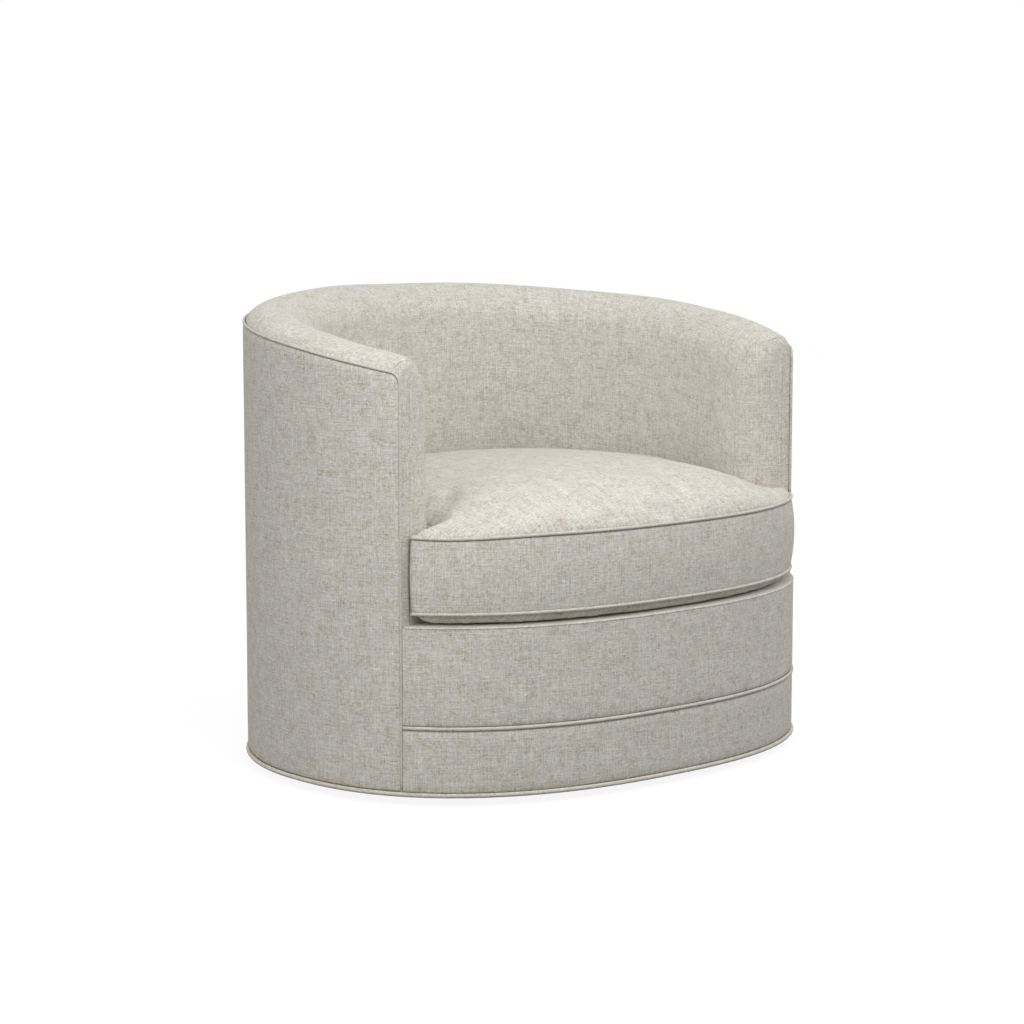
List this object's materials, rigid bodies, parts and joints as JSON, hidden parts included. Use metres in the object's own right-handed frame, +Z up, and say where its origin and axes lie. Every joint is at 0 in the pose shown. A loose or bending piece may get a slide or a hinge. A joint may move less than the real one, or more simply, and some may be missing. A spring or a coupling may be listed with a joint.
{
  "type": "swivel barrel chair",
  "caption": "Oval barrel chair whose back and arms are one padded rim that slopes to the front, with a loose boxed seat cushion, on a hidden round swivel foot.",
  "frame": {"origin": "on the floor, under the middle of the chair's box, which is also the swivel's axis", "axes": "+Z up, the chair faces -Y, +X to the right of someone looking at its front"},
  "size_m": [0.9052, 0.7482, 0.7156],
  "materials": {
    "linen": "heathered linen weave, matte",
    "inner_linen": "heathered linen weave, matte",
    "welt": "linen-covered cord",
    "foam": "open-cell foam",
    "burlap": "coarse weave",
    "cambric": "thin black non-woven cloth",
    "plywood": "bare plywood",
    "timber": "bare hardwood",
    "steel": "zinc plated",
    "spring_steel": "dull",
    "zip": "woven tape with nylon teeth",
    "glide": "black nylon"
  },
  "bodies": {
    "base": {"glide_1": "glide", "glide_2": "glide", "glide_3": "glide", "glide_4": "glide", "base_board": "plywood", "swivel_lower_plate": "steel", "swivel_pivot": "steel"},
    "ball_cage": {"ball_cage": "steel"},
    "chair": {"swivel_upper_plate": "steel", "swivel_bolt_1": "steel", "swivel_bolt_2": "steel", "swivel_bolt_3": "steel", "swivel_bolt_4": "steel", "bottom_ring": "plywood", "front_cross_rail": "timber", "back_cross_rail": "timber", "front_rail": "plywood", "seat_ring": "plywood", "arm_post_left": "timber", "arm_post_right": "timber", "side_post_left": "timber", "side_post_right": "timber", "back_post_left": "timber", "back_post_right": "timber", "middle_post": "timber", "arm_rail_right": "plywood", "arm_rail_left": "plywood", "back_rail": "plywood", "inside_lining": "plywood", "seat_spring_1": "spring_steel", "seat_spring_2": "spring_steel", "seat_spring_3": "spring_steel", "seat_spring_4": "spring_steel", "seat_spring_5": "spring_steel", "spring_cloth": "burlap", "deck_pad": "foam", "deck_cloth": "linen", "arm_pad_right": "foam", "arm_pad_left": "foam", "back_pad": "foam", "inside_cover": "inner_linen", "arm_front_right": "linen", "arm_front_left": "linen", "outside_panel": "linen", "front_panel": "linen", "lower_band": "linen", "band_welt": "welt", "bottom_welt": "welt", "edge_welt": "welt", "dust_cover": "cambric"},
    "cushion": {"cushion_core": "foam", "cushion_top_panel": "linen", "cushion_bottom_panel": "linen", "cushion_boxing": "linen", "cushion_top_welt": "welt", "cushion_bottom_welt": "welt", "cushion_zip": "zip"},
    "zip_slider": {"zip_slider": "steel"}
  },
  "joints": [
    {"name": "swivel", "type": "hinge", "parent": "base", "child": "chair", "pos_m": [0, 0, 0.033], "axis": [0, 0, 1], "continuous": true},
    {"name": "cage_roll", "type": "hinge", "parent": "base", "child": "ball_cage", "pos_m": [0, 0, 0.033], "axis": [0, 0, 1], "continuous": true},
    {"name": "cushion_lift", "type": "slide", "parent": "chair", "child": "cushion", "axis": [0, 0, 1], "range_m": [0, 0.46]},
    {"name": "zip_slide", "type": "hinge", "parent": "cushion", "child": "zip_slider", "pos_m": [0, -0.1438, 0.333], "axis": [0, 0, 1], "range_deg": [-18, 18]}
  ],
  "couplings": [
    {"joint": "cage_roll", "follows": "swivel", "ratio": 0.5}
  ]
}
